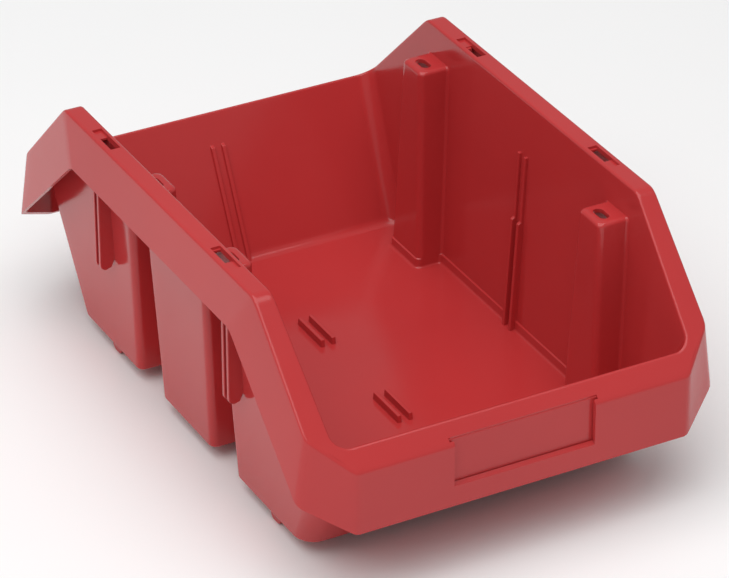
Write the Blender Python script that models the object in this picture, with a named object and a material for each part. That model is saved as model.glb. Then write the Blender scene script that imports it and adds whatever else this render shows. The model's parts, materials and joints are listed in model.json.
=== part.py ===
"""A stackable storage bin with a sloped hopper rim at each end, moulded in red polypropylene.

Lengths are metres. X runs across the bin and Y along it, with the label window on the front end, at -Y.
Heights are measured from the underside of the floor. One empty lifts them all by the height of the feet,
so that the feet stand on z = 0 and the origin is the middle of the footprint.

The real bin is a single moulding. Here it is divided along its natural edges into floor, walls, pillars,
rim, ribs, brackets and feet. Each is a closed solid, with a small gap to its neighbours.
"""

import math

import bmesh
import bpy
from mathutils import Vector

GAP = 0.0003  # between two pieces that meet

# Overall sizes.
LENGTH = 0.318  # over the two end lips
RIM_WIDTH = 0.2026  # over the outer edges of the rim's flat band
BODY_HEIGHT = 0.1228  # underside of the floor to the top of the rim

# The rim: a flat band, and a skirt that hangs from its outer edge. Both slope down towards each end.
HOPPER_RUN = 0.0619  # length in Y of the sloped rim at each end
END_HEIGHT = 0.0617  # top of the band at the very end
BAND_SIDE = 0.0093
BAND_END = 0.0089
RIM_THICKNESS = 0.0023
RIM_CHAMFER_X = 0.0173  # plan chamfer at each corner of the rim
RIM_CHAMFER_Y = 0.0145
RIM_CORNER_RADIUS = 0.005
RIM_JOINT_BACK = 0.002  # an end length of rim starts this far before its corner
SKIRT_THICKNESS = 0.0022
SKIRT_FLARE = 0.0045  # how far a side skirt leans out at its lower edge
SKIRT_DEPTH = 0.0226
SKIRT_LEAD = 0.0154  # the lower edge starts to slope this far before the band does
END_SKIRT_HEIGHT = 0.0305  # lower edge at the very end

# The walls and the floor.
WALL_THICKNESS = 0.0022
END_WALL_THICKNESS = 0.0028  # measured along Y
SIDE_DRAFT = 0.0499  # outward lean per unit of height
END_DRAFT = 0.509
CORNER_RADIUS = 0.008  # inside corners, in plan
FLOOR_THICKNESS = 0.0025

# The pillars: hollow jogs of the side walls, which carry the bin above when it is turned end for end.
RIGHT_PILLARS_FROM_END = 0.076
LEFT_PILLARS_FROM_MIDDLE = 0.0383
PILLAR_ROOF_DROP = 0.0153  # from the rim down to the roof
PILLAR_DEPTH_ROOF = 0.0154  # from the wall's inner face to the pillar's
PILLAR_DEPTH_FOOT = 0.0133
PILLAR_HALF_ROOF = 0.0092
PILLAR_HALF_FOOT = 0.0143
PILLAR_THICKNESS = 0.0022
PILLAR_EDGE_RADIUS = 0.003

# The feet, and the slots in the pillar roofs that take the feet of the bin above.
FOOT_HEIGHT = 0.007
FOOT_LENGTH = 0.0092
FOOT_WIDTH = 0.0044
FOOT_RADIUS = 0.003
SEAT_INSET = 0.0188  # from the outer edge of the rim to the middle of a foot
SEAT_CLEARANCE = 0.0004

# The slots in the top of the rim: a shallow recess with a hole in its inner part.
RIM_SLOT_FROM_SLOPE = 0.0256
RIM_SLOT_LENGTH = 0.0207
RIM_SLOT_WIDTH = 0.0048
RIM_SLOT_EDGE = 0.0025  # band left outside the slot
RIM_SLOT_DEPTH = 0.0012
RIM_HOLE_LENGTH = 0.012
RIM_HOLE_START = 0.0014  # from the recess's inner end

# The brackets: pairs of fins that stiffen the rim, outside the walls.
BRACKET_FAR_FROM_SLOPE = 0.0249
BRACKET_NEAR_FROM_SLOPE = 0.0355
FIN_THICKNESS = 0.0021
FIN_SPACING = 0.0045
FIN_SKIRT_CLEARANCE = 0.0011
FIN_FOOT_HEIGHT = 0.0485
FIN_FOOT_RISE = 0.0055
FIN_RADIUS = 0.003
FIN_UNDER_HOLE = 0.016  # how far below the rim a fin ends that stands under a rim hole

# The divider ribs: pairs on the floor and on all four walls, with a card's thickness between them.
DIVIDER_HALF_GAP = 0.0019
RIB_THICKNESS = 0.00205
FLOOR_RIB_START = 0.0256
FLOOR_RIB_END = 0.0505
FLOOR_RIB_HEIGHT = 0.0037
SIDE_RIB_TOP = 0.0955
SIDE_RIB_STEP = 0.0603
SIDE_RIB_REACH = 0.0014
SIDE_RIB_REACH_STEP = 0.0028
SIDE_RIB_REACH_FOOT = 0.0034
END_RIB_TOP = 0.055
END_RIB_REACH = 0.0017  # measured along Y

# The label holder in the front skirt.
LABEL_HALF = 0.0355
LABEL_SILL = 0.0407
CARD_HALF = 0.0375
CARD_SILL = 0.0397
CARD_SKIN = 0.0012  # front skin beside the window
CARD_PLATE_THICKNESS = 0.0022
CARD_PLATE_MARGIN = 0.0025

ARC_STEPS = 4
CUT_MARGIN = 0.004  # how far a cutter runs past the face that it opens

# Finishes: one polypropylene, a little darker where two walls shade each other.
RED = (0.47, 0.022, 0.022, 1.0)
RED_INSIDE = (0.40, 0.018, 0.019, 1.0)
RED_DEEP = (0.30, 0.014, 0.015, 1.0)
ROUGHNESS = 0.22

# Worked out from the sizes above.
HALF_LENGTH = LENGTH / 2
HALF_RIM = RIM_WIDTH / 2
FLAT_HALF = HALF_LENGTH - HOPPER_RUN
RIM_SLOPE = (BODY_HEIGHT - END_HEIGHT) / HOPPER_RUN
RIM_DROP = RIM_THICKNESS * math.hypot(1, RIM_SLOPE)  # the sloped band's thickness, measured along Z
SKIRT_FLAT_HALF = FLAT_HALF - SKIRT_LEAD
SKIRT_FLAT_HEIGHT = BODY_HEIGHT - SKIRT_DEPTH
SKIRT_SLOPE = (SKIRT_FLAT_HEIGHT - END_SKIRT_HEIGHT) / (HALF_LENGTH - SKIRT_FLAT_HALF)
INNER_X = HALF_RIM - BAND_SIDE
INNER_Y = HALF_LENGTH - BAND_END
ROOF_HEIGHT = BODY_HEIGHT - PILLAR_ROOF_DROP
RIM_JOINT_Y = INNER_Y - CORNER_RADIUS - RIM_JOINT_BACK
SEAT_X = HALF_RIM - SEAT_INSET
RIGHT_PILLAR_Y = HALF_LENGTH - RIGHT_PILLARS_FROM_END
SIDES = {"left": -1, "right": 1}
ENDS = {"front": -1, "rear": 1}
PILLAR_Y = {"left": LEFT_PILLARS_FROM_MIDDLE, "right": RIGHT_PILLAR_Y}


def clear_scene():
    for item in list(bpy.data.objects):
        bpy.data.objects.remove(item, do_unlink=True)


def plastic(name, colour):
    material = bpy.data.materials.new(name + "_plastic")
    material.use_nodes = True
    shader = material.node_tree.nodes["Principled BSDF"]
    shader.inputs["Base Color"].default_value = colour
    shader.inputs["Roughness"].default_value = ROUGHNESS
    shader.inputs["Metallic"].default_value = 0.0
    return material


def lofted_mesh(name, rings):
    """Closed mesh through rings of equally many points, with a cap on the first and on the last."""
    solid = bmesh.new()
    rows = [[solid.verts.new(point) for point in ring] for ring in rings]
    for before, after in zip(rows, rows[1:]):
        for i, corner in enumerate(before):
            solid.faces.new((before[i - 1], corner, after[i], after[i - 1]))
    solid.faces.new(rows[0])
    solid.faces.new(rows[-1])
    bmesh.ops.recalc_face_normals(solid, faces=solid.faces)
    mesh = bpy.data.meshes.new(name)
    solid.to_mesh(mesh)
    solid.free()
    return mesh


def place(name, mesh, parent):
    item = bpy.data.objects.new(name, mesh)
    item.parent = parent
    bpy.context.collection.objects.link(item)
    return item


def piece(name, rings, parent, colour=RED):
    item = place(name, lofted_mesh(name, rings), parent)
    item.data.materials.append(plastic(name, colour))
    return item


def cut(item, name, rings):
    """Takes the solid through the rings out of the item."""
    cutter = place(name, lofted_mesh(name, rings), item.parent)
    cutter.hide_render = True
    cutter.display_type = "WIRE"
    modifier = item.modifiers.new(name, "BOOLEAN")
    modifier.operation = "DIFFERENCE"
    modifier.solver = "EXACT"
    modifier.object = cutter


def arc(centre, radius, start, end, steps=ARC_STEPS):
    """Points of an arc in a plane, ends included, with its angles in degrees."""
    angles = [math.radians(start + (end - start) * i / steps) for i in range(steps + 1)]
    return [(centre[0] + radius * math.cos(a), centre[1] + radius * math.sin(a)) for a in angles]


def rounded(before, vertex, after, radius, inset=0.0, steps=ARC_STEPS):
    """The arc that rounds a corner of an outline, for that outline moved inwards by inset."""
    one = (Vector(before) - Vector(vertex)).normalized()
    other = (Vector(after) - Vector(vertex)).normalized()
    half = one.angle(other) / 2
    centre = Vector(vertex) + (one + other).normalized() * (radius / math.sin(half))
    first = -(other - one * one.dot(other)).normalized()
    last = -(one - other * other.dot(one)).normalized()
    start = math.degrees(math.atan2(first.y, first.x))
    turn = math.degrees(first.angle(last))
    turn = math.copysign(turn, first.x * last.y - first.y * last.x)
    return arc(centre, radius - inset, start, start + turn, steps)


def box_rings(low, high):
    """Two rings for a box: its lower and its upper outline."""
    return [
        [(low[0], low[1], z), (high[0], low[1], z), (high[0], high[1], z), (low[0], high[1], z)]
        for z in (low[2], high[2])
    ]


def wall_x(z):
    """Inner face of the side walls."""
    return INNER_X - SIDE_DRAFT * (BODY_HEIGHT - z)


def wall_y(z):
    """Inner face of the end walls."""
    return INNER_Y - END_DRAFT * (rim_height(INNER_Y) - z)


def rim_height(y):
    return BODY_HEIGHT - RIM_SLOPE * max(abs(y) - FLAT_HALF, 0)


def rim_underside(y):
    return min(BODY_HEIGHT - RIM_THICKNESS, BODY_HEIGHT - RIM_SLOPE * (abs(y) - FLAT_HALF) - RIM_DROP)


def skirt_height(y):
    return SKIRT_FLAT_HEIGHT - SKIRT_SLOPE * max(abs(y) - SKIRT_FLAT_HALF, 0)


def height_under_rim(y_at_floor):
    """Where a line that leans out with an end wall meets the sloped rim's underside, less the gap."""
    level = BODY_HEIGHT - RIM_SLOPE * (y_at_floor - FLAT_HALF) - RIM_DROP - GAP
    return level / (1 + RIM_SLOPE * END_DRAFT)


def pillar_half(z):
    return PILLAR_HALF_FOOT + (PILLAR_HALF_ROOF - PILLAR_HALF_FOOT) * z / ROOF_HEIGHT


def pillar_face(z):
    """Distance of a pillar's inner face from the middle of the bin."""
    depth = PILLAR_DEPTH_FOOT + (PILLAR_DEPTH_ROOF - PILLAR_DEPTH_FOOT) * z / ROOF_HEIGHT
    return wall_x(z) - depth


def pillar_outline(side, y, z, outer, grow=0.0):
    """Plan outline of a pillar from -Y to +Y round its inner face, out to x = outer, made larger by grow."""
    half = pillar_half(z) + grow
    face = pillar_face(z) - grow
    radius = PILLAR_EDGE_RADIUS + grow
    points = [(outer, y - half)]
    points += arc((face + radius, y - half + radius), radius, 270, 180)
    points += arc((face + radius, y + half - radius), radius, 180, 90)
    points += [(outer, y + half)]
    return [(side * px, py, z) for px, py in points]


def floor_outline(z):
    edge = wall_x(z) - GAP
    end = wall_y(z) - GAP
    corner = (edge - CORNER_RADIUS, end - CORNER_RADIUS)
    quarter = arc(corner, CORNER_RADIUS, 0, 90)
    sides = {}
    for name, side in SIDES.items():
        sides[name] = []
        for y in (-PILLAR_Y[name], PILLAR_Y[name]):
            sides[name] += pillar_outline(side, y, z, edge, GAP)
    points = [(x, -y, z) for x, y in reversed(quarter)]
    points += sides["right"]
    points += [(x, y, z) for x, y in quarter]
    points += [(-x, y, z) for x, y in reversed(quarter)]
    points += reversed(sides["left"])
    points += [(-x, -y, z) for x, y in quarter]
    return points


def build_floor(parent):
    piece("floor_panel", [floor_outline(0), floor_outline(FLOOR_THICKNESS)], parent, RED_INSIDE)


def side_wall_outline(name):
    """Outline of a side wall in Y and Z, with a notch from below for each pillar."""
    foot = wall_y(0) - CORNER_RADIUS - GAP
    top = height_under_rim(foot)
    shoulder = FLAT_HALF - RIM_THICKNESS * math.tan(math.atan(RIM_SLOPE) / 2)
    points = [(-foot, 0)]
    for y in (-PILLAR_Y[name], PILLAR_Y[name]):
        half_foot = pillar_half(0) + GAP
        half_roof = pillar_half(ROOF_HEIGHT) + GAP
        points += [(y - half_foot, 0), (y - half_roof, ROOF_HEIGHT + GAP)]
        points += [(y + half_roof, ROOF_HEIGHT + GAP), (y + half_foot, 0)]
    points += [(foot, 0), (foot + END_DRAFT * top, top)]
    points += [(shoulder, BODY_HEIGHT - RIM_THICKNESS - GAP)]
    points += [(-shoulder, BODY_HEIGHT - RIM_THICKNESS - GAP)]
    points += [(-foot - END_DRAFT * top, top)]
    return points


def build_side_walls(parent):
    for name, side in SIDES.items():
        outline = side_wall_outline(name)
        rings = [
            [(side * (wall_x(z) + outwards), y, z) for y, z in outline]
            for outwards in (0, WALL_THICKNESS)
        ]
        piece(name + "_side_wall", rings, parent)


def build_end_walls(parent):
    """Each end wall turns both corners. Its section, a thin upright slice, follows the plan outline."""
    for name, end in ENDS.items():
        rings = []
        for side in (1, -1):
            turns = [math.radians(90 * i / ARC_STEPS) for i in range(ARC_STEPS + 1)]
            for turn in turns if side == 1 else reversed(turns):
                rings.append(end_wall_section(side, end, turn))
        piece(name + "_end_wall", rings, parent, RED_INSIDE)


def end_wall_section(side, end, turn):
    """Inner and outer edge of the wall at one angle round a corner, each from the floor to the rim."""
    section = []
    for thick_x, thick_y in ((0, 0), (WALL_THICKNESS, END_WALL_THICKNESS)):
        reach_x = (CORNER_RADIUS + thick_x) * math.cos(turn) - CORNER_RADIUS
        reach_y = (CORNER_RADIUS + thick_y) * math.sin(turn) - CORNER_RADIUS
        top = height_under_rim(wall_y(0) + reach_y)
        edge = [(side * (wall_x(z) + reach_x), end * (wall_y(z) + reach_y), z) for z in (0, top)]
        section += edge if thick_x == 0 else reversed(edge)
    return section


def build_pillars(parent):
    for name, side in SIDES.items():
        for end_name, end in ENDS.items():
            title = f"{name}_{end_name}_pillar"
            y = end * PILLAR_Y[name]
            block = [
                pillar_outline(side, y, z, wall_x(z) + WALL_THICKNESS) for z in (0, ROOF_HEIGHT)
            ]
            item = piece(title, block, parent, RED_INSIDE)
            channel = [
                pillar_outline(side, y, z, HALF_RIM, -PILLAR_THICKNESS)
                for z in (-CUT_MARGIN, ROOF_HEIGHT - PILLAR_THICKNESS)
            ]
            cut(item, title + "_channel", channel)
            cut(item, title + "_slot", seat_slot(side, y))


def seat_slot(side, y):
    """Round-ended slot through a pillar's roof, a clearance larger than the foot that it takes."""
    radius = (FOOT_WIDTH + SEAT_CLEARANCE) / 2
    straight = (FOOT_LENGTH + SEAT_CLEARANCE) / 2 - radius
    outline = arc((side * SEAT_X, y + straight), radius, 0, 180)
    outline += arc((side * SEAT_X, y - straight), radius, 180, 360)
    low = ROOF_HEIGHT - PILLAR_THICKNESS - CUT_MARGIN
    return [[(px, py, z) for px, py in outline] for z in (low, ROOF_HEIGHT + CUT_MARGIN)]


def rim_section(inner, outer, outer_back, low, low_back):
    """Six corners of the rim's section: the band's top, the skirt's lower edge, and back underneath."""
    return [
        (*inner, rim_height(inner[1])),
        (*outer, rim_height(outer[1])),
        (*low, skirt_height(low[1])),
        (*low_back, skirt_height(low[1])),
        (*outer_back, rim_underside(outer_back[1])),
        (*inner, rim_underside(inner[1])),
    ]


def side_rim_sections(side):
    """Sections from end to end of a side. The band and the skirt bend down at places of their own."""
    end = RIM_JOINT_Y - GAP
    mitre = RIM_THICKNESS * math.tan(math.atan(RIM_SLOPE) / 2)
    low_x = HALF_RIM + SKIRT_FLARE
    sections = []
    for direction, band_y, skirt_y, back in ((-1, end, end, 0), (-1, FLAT_HALF, SKIRT_FLAT_HALF, mitre),
                                             (1, FLAT_HALF, SKIRT_FLAT_HALF, mitre), (1, end, end, 0)):
        top = direction * band_y
        under = direction * (band_y - back)
        low = direction * skirt_y
        sections.append([
            (side * INNER_X, top, rim_height(top)),
            (side * HALF_RIM, top, rim_height(top)),
            (side * low_x, low, skirt_height(low)),
            (side * (low_x - SKIRT_THICKNESS), low, skirt_height(low)),
            (side * (HALF_RIM - SKIRT_THICKNESS), under, rim_underside(under)),
            (side * INNER_X, under, rim_underside(under)),
        ])
    return sections


def rim_corner(outer_x, inset):
    """Plan outline round the right rear corner: two rounded vertices with a chamfer between them."""
    first = (outer_x, HALF_LENGTH - RIM_CHAMFER_Y)
    second = (HALF_RIM - RIM_CHAMFER_X, HALF_LENGTH)
    points = rounded((outer_x, 0), first, second, RIM_CORNER_RADIUS, inset)
    points += rounded(first, second, (0, HALF_LENGTH), RIM_CORNER_RADIUS, inset)
    return points


def end_rim_sections(end):
    """Sections from the right side round both corners to the left side."""
    low_x = HALF_RIM + SKIRT_FLARE
    start = RIM_JOINT_Y
    outer = [(HALF_RIM, start)] + rim_corner(HALF_RIM, 0)
    outer_back = [(HALF_RIM - SKIRT_THICKNESS, start)] + rim_corner(HALF_RIM, SKIRT_THICKNESS)
    low = [(low_x, start)] + rim_corner(low_x, 0)
    low_back = [(low_x - SKIRT_THICKNESS, start)] + rim_corner(low_x, SKIRT_THICKNESS)
    centre = (INNER_X - CORNER_RADIUS, INNER_Y - CORNER_RADIUS)
    inner = [(INNER_X, start)] + arc(centre, CORNER_RADIUS, 0, 90, len(outer) - 2)
    sections = []
    corner = list(zip(inner, outer, outer_back, low, low_back))
    for side in (1, -1):
        for plan in corner if side == 1 else reversed(corner):
            sections.append(rim_section(*[(side * x, end * y) for x, y in plan]))
    return sections


def build_rims(parent):
    for name, side in SIDES.items():
        item = piece(name + "_rim", side_rim_sections(side), parent)
        for end_name, end in ENDS.items():
            cut_rim_slot(item, f"{name}_{end_name}_rim", side, end)
    for name, end in ENDS.items():
        item = piece(name + "_rim", end_rim_sections(end), parent)
        if name == "front":
            cut_label_window(item)


def cut_rim_slot(item, title, side, end):
    out_y = FLAT_HALF - RIM_SLOT_FROM_SLOPE
    in_y = out_y - RIM_SLOT_LENGTH
    hole_y = in_y + RIM_HOLE_START
    out_x = HALF_RIM - RIM_SLOT_EDGE
    in_x = out_x - RIM_SLOT_WIDTH
    top = BODY_HEIGHT + CUT_MARGIN
    spans = {
        "recess": (in_y, out_y, BODY_HEIGHT - RIM_SLOT_DEPTH),
        "hole": (hole_y, hole_y + RIM_HOLE_LENGTH, BODY_HEIGHT - RIM_THICKNESS - CUT_MARGIN),
    }
    for name, (near, far, bottom) in spans.items():
        xs = sorted((side * in_x, side * out_x))
        ys = sorted((end * near, end * far))
        rings = box_rings((xs[0], ys[0], bottom), (xs[1], ys[1], top))
        cut(item, f"{title}_{name}", rings)


def cut_label_window(item):
    """The window goes through the front skin, and the card's slot runs behind its edges."""
    plate_y = HALF_LENGTH - SKIRT_THICKNESS - GAP
    top = END_HEIGHT + HOPPER_RUN
    window = box_rings((-LABEL_HALF, -HALF_LENGTH - CUT_MARGIN, LABEL_SILL), (LABEL_HALF, -plate_y, top))
    card = box_rings((-CARD_HALF, -HALF_LENGTH + CARD_SKIN, CARD_SILL), (CARD_HALF, -plate_y, top))
    cut(item, "label_window", window)
    cut(item, "card_slot", card)


def build_label_plate(parent):
    """The plate behind the window, from just below the sill to the band."""
    front_y = HALF_LENGTH - SKIRT_THICKNESS - GAP
    back_y = front_y - CARD_PLATE_THICKNESS
    half = CARD_HALF + CARD_PLATE_MARGIN
    foot = CARD_SILL - CARD_PLATE_MARGIN
    profile = [(-front_y, foot), (-back_y, foot)]
    profile += [(y, rim_underside(y) - GAP) for y in (-back_y, -front_y)]
    rings = [[(x, y, z) for y, z in profile] for x in (-half, half)]
    piece("label_plate", rings, parent)


def fin_profile(side, top):
    """A bracket fin in X and Z: along the wall, over its top, down, and back up to the wall."""
    outer = HALF_RIM - SKIRT_THICKNESS - FIN_SKIRT_CLEARANCE
    root = FIN_FOOT_HEIGHT + FIN_FOOT_RISE
    wall = WALL_THICKNESS + GAP
    low_inner = (wall_x(FIN_FOOT_HEIGHT) + wall + FIN_RADIUS, FIN_FOOT_HEIGHT)
    low_outer = (outer, FIN_FOOT_HEIGHT)
    points = [(wall_x(top) + wall, top), (wall_x(root) + wall, root), low_inner]
    points += rounded(low_inner, low_outer, (outer, top), FIN_RADIUS)
    points += [(outer, top)]
    return [(side * x, z) for x, z in points]


def build_brackets(parent):
    """Four pairs of fins. Each side has one pair further from the middle, at opposite ends.

    The inner fin of a near pair stands under a rim hole, and ends below it.
    """
    under_band = BODY_HEIGHT - RIM_THICKNESS - GAP
    under_hole = BODY_HEIGHT - FIN_UNDER_HOLE
    for name, side in SIDES.items():
        for end_name, end in ENDS.items():
            far = side * end < 0
            back = BRACKET_FAR_FROM_SLOPE if far else BRACKET_NEAR_FROM_SLOPE
            for number, shift in ((1, -FIN_SPACING / 2), (2, FIN_SPACING / 2)):
                middle = end * (FLAT_HALF - back) + shift
                inner = shift * end < 0
                top = under_hole if inner and not far else under_band
                rings = [
                    [(x, y, z) for x, z in fin_profile(side, top)]
                    for y in (middle - FIN_THICKNESS / 2, middle + FIN_THICKNESS / 2)
                ]
                piece(f"{name}_{end_name}_fin_{number}", rings, parent)


def build_feet(parent):
    """The feet of one side stand where the other side has its pillars."""
    opposite = {"left": "right", "right": "left"}
    for name, side in SIDES.items():
        for end_name, end in ENDS.items():
            y = end * PILLAR_Y[opposite[name]]
            half = FOOT_LENGTH / 2
            corners = [(y - half, -GAP), (y - half, -FOOT_HEIGHT), (y + half, -FOOT_HEIGHT), (y + half, -GAP)]
            profile = [corners[0]]
            profile += rounded(corners[0], corners[1], corners[2], FOOT_RADIUS)
            profile += rounded(corners[1], corners[2], corners[3], FOOT_RADIUS)
            profile += [corners[3]]
            rings = [
                [(side * (SEAT_X + across), py, pz) for py, pz in profile]
                for across in (-FOOT_WIDTH / 2, FOOT_WIDTH / 2)
            ]
            piece(f"{name}_{end_name}_foot", rings, parent)


def rib_spans():
    """The two ribs of a pair, as the near and far edge of each."""
    far = DIVIDER_HALF_GAP + RIB_THICKNESS
    return ((1, -far, -DIVIDER_HALF_GAP), (2, DIVIDER_HALF_GAP, far))


def build_floor_ribs(parent):
    low = FLOOR_THICKNESS + GAP
    high = FLOOR_THICKNESS + FLOOR_RIB_HEIGHT
    for name, end in ENDS.items():
        ys = sorted((end * FLOOR_RIB_START, end * FLOOR_RIB_END))
        for number, near, far in rib_spans():
            rings = box_rings((near, ys[0], low), (far, ys[1], high))
            piece(f"{name}_floor_rib_{number}", rings, parent, RED_INSIDE)


def build_side_ribs(parent):
    """Stepped ribs in the middle of each side wall, where a cross divider slides in."""
    foot = FLOOR_THICKNESS + GAP
    profile = [
        (GAP, foot),
        (GAP, SIDE_RIB_TOP),
        (SIDE_RIB_REACH, SIDE_RIB_TOP),
        (SIDE_RIB_REACH, SIDE_RIB_STEP),
        (SIDE_RIB_REACH_STEP, SIDE_RIB_STEP),
        (SIDE_RIB_REACH_FOOT, foot),
    ]
    for name, side in SIDES.items():
        for number, near, far in rib_spans():
            rings = [[(side * (wall_x(z) - reach), y, z) for reach, z in profile] for y in (near, far)]
            piece(f"{name}_wall_rib_{number}", rings, parent, RED_INSIDE)


def build_end_ribs(parent):
    """Low ribs in the middle of each end wall, where a lengthwise divider slides in."""
    foot = FLOOR_THICKNESS + GAP
    profile = [(GAP, foot), (GAP, END_RIB_TOP), (END_RIB_REACH, END_RIB_TOP), (END_RIB_REACH, foot)]
    for name, end in ENDS.items():
        for number, near, far in rib_spans():
            rings = [[(x, end * (wall_y(z) - reach), z) for reach, z in profile] for x in (near, far)]
            piece(f"{name}_wall_rib_{number}", rings, parent, RED_INSIDE)


def build_bin():
    clear_scene()
    lift = bpy.data.objects.new("floor_underside", None)
    lift.location.z = FOOT_HEIGHT
    bpy.context.collection.objects.link(lift)
    build_floor(lift)
    build_side_walls(lift)
    build_end_walls(lift)
    build_pillars(lift)
    build_rims(lift)
    build_label_plate(lift)
    build_brackets(lift)
    build_feet(lift)
    build_floor_ribs(lift)
    build_side_ribs(lift)
    build_end_ribs(lift)


build_bin()
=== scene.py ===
"""A stackable storage bin in glossy red polypropylene, on a pale studio floor.

The bin is one thin moulded sheet: floor, walls with four hollow pillars jogged into them, and a rim whose
band turns down into a hanging skirt. Its inside and outside are two grids over the same rows and columns.
A column runs up the wall, over the band and down the skirt; a row runs once round the bin. Ribs, brackets,
feet and the label plate are pieces of their own. Sizes are millimetres above the underside of the floor,
and one function puts them into the frame in metres.
"""

import json
import math

import bmesh
import bpy
import numpy as np
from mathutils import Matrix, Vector

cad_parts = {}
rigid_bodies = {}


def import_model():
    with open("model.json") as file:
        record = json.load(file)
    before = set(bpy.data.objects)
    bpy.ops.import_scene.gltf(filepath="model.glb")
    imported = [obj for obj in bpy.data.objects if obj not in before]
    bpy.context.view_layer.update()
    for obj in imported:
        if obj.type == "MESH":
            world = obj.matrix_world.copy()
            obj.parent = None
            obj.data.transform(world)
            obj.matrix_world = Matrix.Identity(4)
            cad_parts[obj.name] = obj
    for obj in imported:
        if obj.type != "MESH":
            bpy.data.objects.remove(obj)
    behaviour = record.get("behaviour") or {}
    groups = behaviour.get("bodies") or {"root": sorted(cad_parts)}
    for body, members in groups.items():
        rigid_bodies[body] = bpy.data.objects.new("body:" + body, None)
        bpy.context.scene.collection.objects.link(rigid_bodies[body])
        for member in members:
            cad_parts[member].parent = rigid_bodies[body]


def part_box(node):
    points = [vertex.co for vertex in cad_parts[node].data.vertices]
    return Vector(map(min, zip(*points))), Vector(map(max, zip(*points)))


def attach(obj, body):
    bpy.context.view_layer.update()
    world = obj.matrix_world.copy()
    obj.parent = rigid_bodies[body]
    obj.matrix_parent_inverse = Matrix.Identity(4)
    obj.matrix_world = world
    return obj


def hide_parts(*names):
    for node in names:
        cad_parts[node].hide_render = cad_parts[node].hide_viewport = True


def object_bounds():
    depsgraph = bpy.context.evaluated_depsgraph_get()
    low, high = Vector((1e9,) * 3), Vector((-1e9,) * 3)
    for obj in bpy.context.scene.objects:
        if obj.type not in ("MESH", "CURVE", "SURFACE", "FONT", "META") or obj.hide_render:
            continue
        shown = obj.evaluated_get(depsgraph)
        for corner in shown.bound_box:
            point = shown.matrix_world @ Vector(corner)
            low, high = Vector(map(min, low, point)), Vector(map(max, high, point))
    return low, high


for startup_item in list(bpy.data.objects):
    bpy.data.objects.remove(startup_item, do_unlink=True)
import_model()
cad_low, cad_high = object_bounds()
MM = 0.001
foot_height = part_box("floor_panel")[0][2]  # metres, from the ground to the underside of the floor

# Overall sizes, read from the frame.
half_length = cad_high[1] / MM
body_height = (cad_high[2] - foot_height) / MM
skirt_reach = cad_high[0] / MM
end_skirt = (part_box("front_rim")[0][2] - foot_height) / MM
roof_height = (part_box("right_rear_pillar")[1][2] - foot_height) / MM

# Rim.
HOPPER_RUN = 61.9
END_HEIGHT = 61.7
BAND_SIDE = 9.3
BAND_END = 8.9
SKIN = 2.2
CHAMFER_X = 17.3
CHAMFER_Y = 14.5
RIM_CORNER = 5.0
SKIRT_DEPTH = 22.6
SKIRT_LEAD = 15.4
SKIRT_FLARE = 4.5
INNER_EDGE = 1.3
OUTER_EDGE = 1.2
HIDDEN_EDGE = 0.3  # rounding of the same edges on the rim's underside
CREASE = 3.0  # half length of the rounded bend where the rim starts to slope

# Walls and floor.
SIDE_ROOT = 1.2  # fillet between the floor and a side wall, inside the bin
END_ROOT = 3.0  # the same at an end wall
OUTER_ROOT = 1.5  # the same all round the outside
SIDE_DRAFT = 0.0499
END_DRAFT = 0.509
CORNER = 8.0
FLOOR = 2.5
END_SKIN = 0.4  # what an end wall has more than a side wall, along Y
BEAD = 0.8
BEAD_TOP = 7.1
BEAD_FADE = 0.35

# Pillars.
PILLAR_Y = {"right": 83.0, "left": 38.3}
PILLAR_DEPTH = (13.3, 15.4)  # at the floor and at the roof
PILLAR_HALF = (14.3, 9.2)
PILLAR_EDGE = 3.0
PILLAR_ROOT = 1.5
LEAST_EDGE = 0.5  # least radii that its outline keeps where it is moved in or out
LEAST_ROOT = 0.3
ROOF_EDGE = 2.0
SEAT_X = 82.5
SLOT_STRAIGHT = 2.4
SLOT_RADIUS = 2.4

# Rim slots: recess and hole, as distances from the middle of the bin, and from the band's inner edge.
RECESS_Y = (50.8, 71.5)
HOLE_Y = (52.2, 64.2)
SLOT_ROWS = (2.0, 6.8)
RECESS = 1.2
STEP = 0.12  # run of a steep moulded step

# Label window in the front skirt.
LABEL_HALF = 35.5
CARD_HALF = 37.5
LABEL_SILL = 40.7
WINDOW_ROW = 6.2
CARD_ROW = 7.7

flat_half = half_length - HOPPER_RUN
half_rim = skirt_reach - SKIRT_FLARE
rim_slope = (body_height - END_HEIGHT) / HOPPER_RUN
skirt_flat = flat_half - SKIRT_LEAD
skirt_slope = (body_height - SKIRT_DEPTH - end_skirt) / (half_length - skirt_flat)
inner_x = half_rim - BAND_SIDE
inner_y = half_length - BAND_END
end_top = body_height - rim_slope * (inner_y - flat_half)


def in_frame(x, y, z):
    """Points in metres in the frame, from millimetres above the floor's underside."""
    x, y, z = np.broadcast_arrays(x, y, z)
    return np.stack([x * MM, y * MM, z * MM + foot_height], axis=-1)


def ramp(y, start):
    """How far y has run past start: zero before it, a straight rise after it, and a parabola round it."""
    past = np.abs(y) - start
    bend = (past + CREASE) ** 2 / (4 * CREASE)
    return np.where(past < -CREASE, 0.0, np.where(past > CREASE, past, bend))


def rim_z(y):
    """Top of the band: level, then sloping down towards the ends."""
    return body_height - rim_slope * ramp(y, flat_half)


def band_depth(y):
    """Thickness of the band measured along Z: the skin over the cosine of the local slope."""
    local = rim_slope * np.clip((np.abs(y) - flat_half + CREASE) / (2 * CREASE), 0, 1)
    return SKIN * np.hypot(1, local)


def skirt_z(y):
    """Lower edge of the skirt. It starts to slope a little before the band does."""
    return body_height - SKIRT_DEPTH - skirt_slope * ramp(y, skirt_flat)


def wall_x(z):
    """Inside of a side wall, leaning in towards the floor by its draft."""
    return inner_x - SIDE_DRAFT * (body_height - z)


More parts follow.
